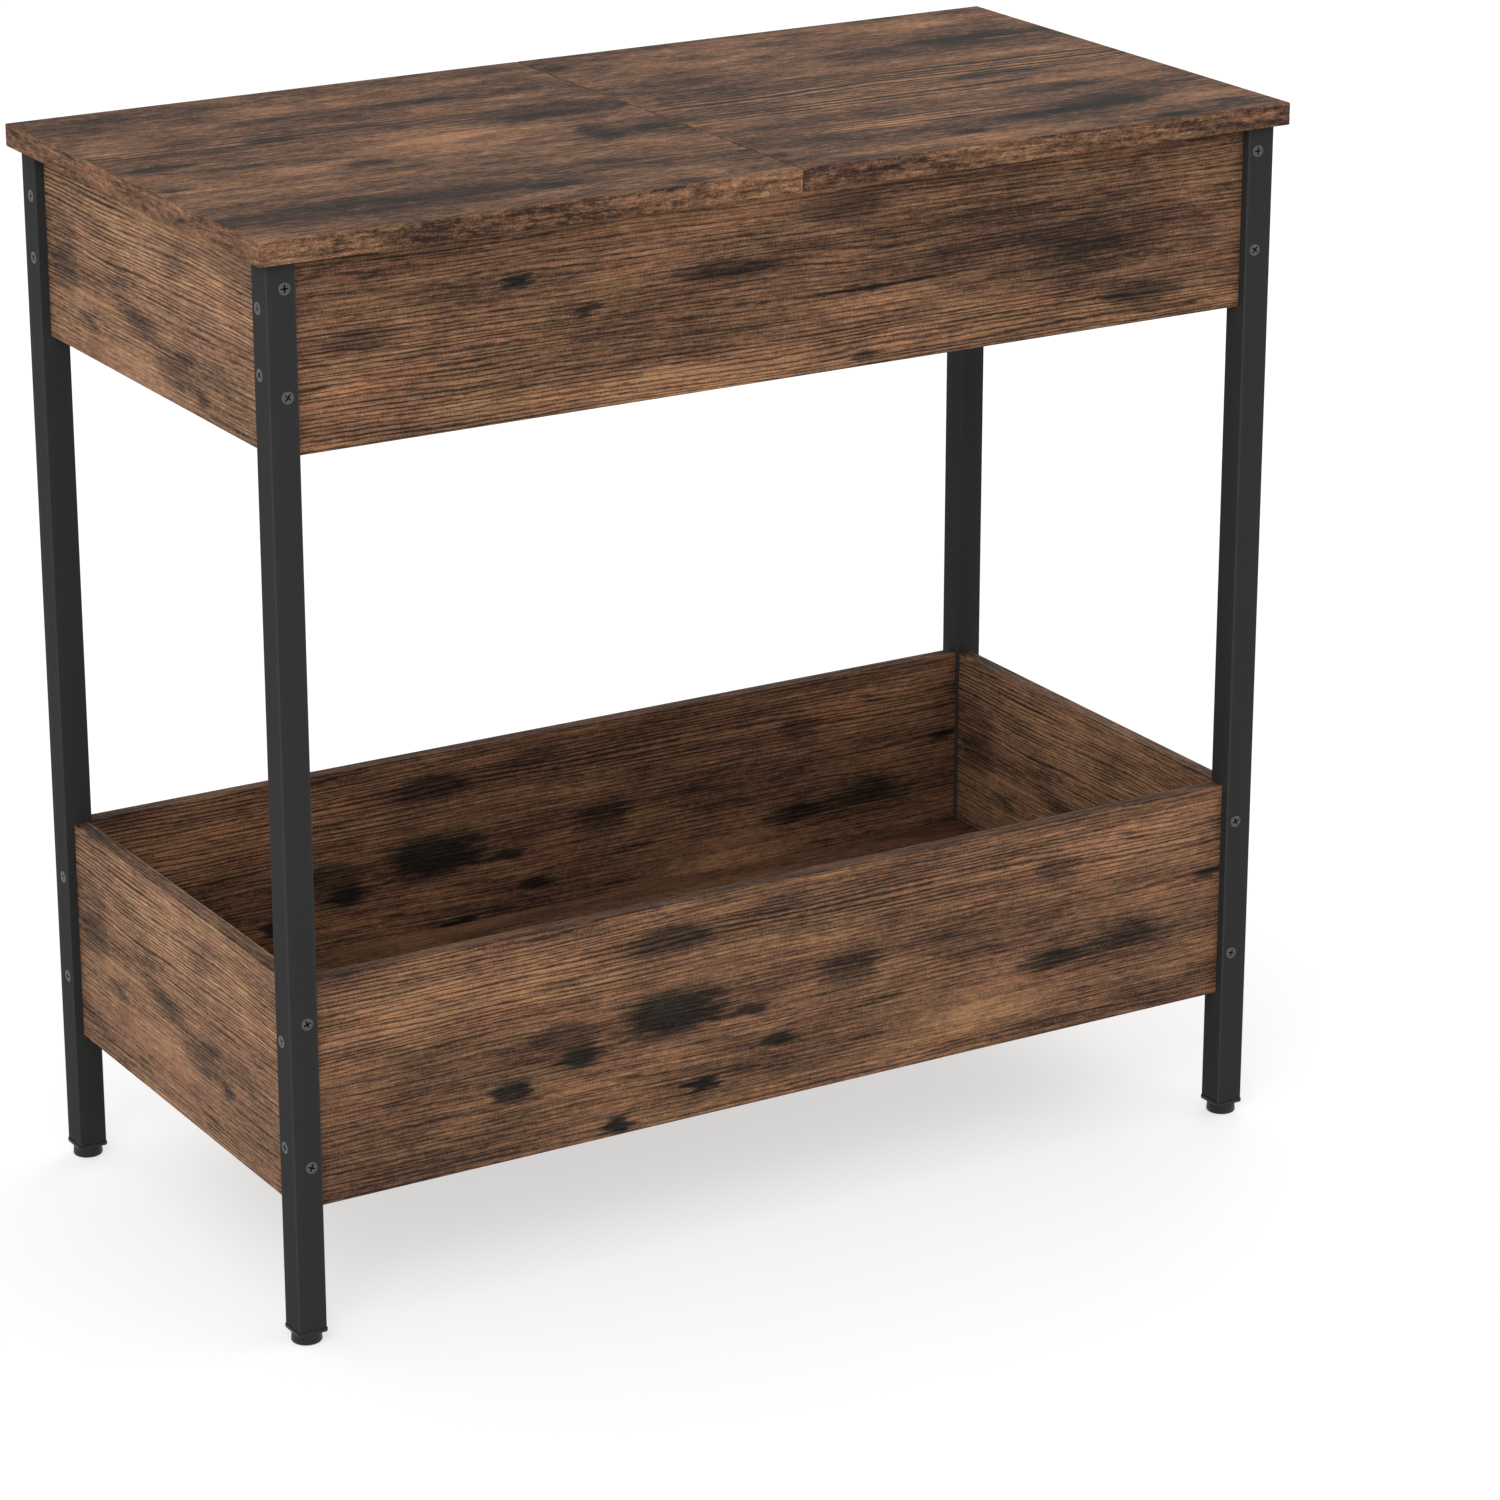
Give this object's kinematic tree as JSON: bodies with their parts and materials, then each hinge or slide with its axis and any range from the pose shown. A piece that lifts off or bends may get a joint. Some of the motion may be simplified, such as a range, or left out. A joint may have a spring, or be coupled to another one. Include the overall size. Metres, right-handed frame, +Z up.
{
  "type": "storage side table",
  "caption": "Narrow side table with a storage box under two flip-up lids, an open bin below, square steel legs and levelling feet.",
  "frame": {"origin": "on the floor, under the middle of the table", "axes": "+X along the table's length, -Y towards the front, +Z up"},
  "size_m": [0.6, 0.3, 0.578],
  "materials": {
    "top_board": "rustic brown wood-print melamine on particle board, satin, smooth",
    "box_board": "rustic brown wood-print melamine on particle board, saw-cut grain, satin",
    "floor_board": "rustic brown wood-print melamine, satin",
    "leg_steel": "matt black powder coat on welded square tube",
    "foot_plastic": "moulded black plastic",
    "screw_steel": "black zinc plated steel",
    "zinc_steel": "bright zinc plated steel",
    "hinge_steel": "black plated pressed steel"
  },
  "bodies": {
    "frame": {"leg_front_left": "leg_steel", "foot_plug_front_left": "foot_plastic", "leg_screws_front_left": "screw_steel", "leg_front_right": "leg_steel", "foot_plug_front_right": "foot_plastic", "leg_screws_front_right": "screw_steel", "leg_back_left": "leg_steel", "foot_plug_back_left": "foot_plastic", "leg_screws_back_left": "screw_steel", "leg_back_right": "leg_steel", "foot_plug_back_right": "foot_plastic", "leg_screws_back_right": "screw_steel", "leg_top_caps": "foot_plastic", "foot_nuts": "zinc_steel", "upper_front_board": "box_board", "upper_back_board": "box_board", "upper_left_board": "box_board", "upper_right_board": "box_board", "upper_floor": "floor_board", "bin_front_board": "box_board", "bin_back_board": "box_board", "bin_left_board": "box_board", "bin_right_board": "box_board", "bin_floor": "floor_board", "upper_divider": "floor_board", "hinge_frame_screws_left": "zinc_steel", "hinge_frame_screws_right": "zinc_steel", "hinge_frame_leaf_left_inner": "hinge_steel", "hinge_pin_left_inner": "hinge_steel", "hinge_frame_leaf_left_outer": "hinge_steel", "hinge_pin_left_outer": "hinge_steel", "hinge_frame_leaf_right_inner": "hinge_steel", "hinge_pin_right_inner": "hinge_steel", "hinge_frame_leaf_right_outer": "hinge_steel", "hinge_pin_right_outer": "hinge_steel"},
    "lid_left": {"lid_left": "top_board", "hinge_lid_screws_left": "zinc_steel", "hinge_lid_leaf_left_inner": "hinge_steel", "hinge_lid_leaf_left_outer": "hinge_steel"},
    "lid_right": {"lid_right": "top_board", "hinge_lid_screws_right": "zinc_steel", "hinge_lid_leaf_right_inner": "hinge_steel", "hinge_lid_leaf_right_outer": "hinge_steel"},
    "foot_front_left": {"foot_pad_front_left": "foot_plastic", "foot_stud_front_left": "zinc_steel"},
    "foot_front_right": {"foot_pad_front_right": "foot_plastic", "foot_stud_front_right": "zinc_steel"},
    "foot_back_left": {"foot_pad_back_left": "foot_plastic", "foot_stud_back_left": "zinc_steel"},
    "foot_back_right": {"foot_pad_back_right": "foot_plastic", "foot_stud_back_right": "zinc_steel"}
  },
  "joints": [
    {"name": "lid_left_hinge", "type": "hinge", "parent": "frame", "child": "lid_left", "pos_m": [-0.15, 0.1454, 0.566], "axis": [-1, 0, 0], "range_deg": [0, 100]},
    {"name": "lid_right_hinge", "type": "hinge", "parent": "frame", "child": "lid_right", "pos_m": [0.15, 0.1454, 0.566], "axis": [-1, 0, 0], "range_deg": [0, 100]},
    {"name": "foot_front_left_travel", "type": "slide", "parent": "frame", "child": "foot_front_left", "axis": [0, 0, -1], "range_m": [0, 0.008]},
    {"name": "foot_front_right_travel", "type": "slide", "parent": "frame", "child": "foot_front_right", "axis": [0, 0, -1], "range_m": [0, 0.008]},
    {"name": "foot_back_left_travel", "type": "slide", "parent": "frame", "child": "foot_back_left", "axis": [0, 0, -1], "range_m": [0, 0.008]},
    {"name": "foot_back_right_travel", "type": "slide", "parent": "frame", "child": "foot_back_right", "axis": [0, 0, -1], "range_m": [0, 0.008]}
  ]
}
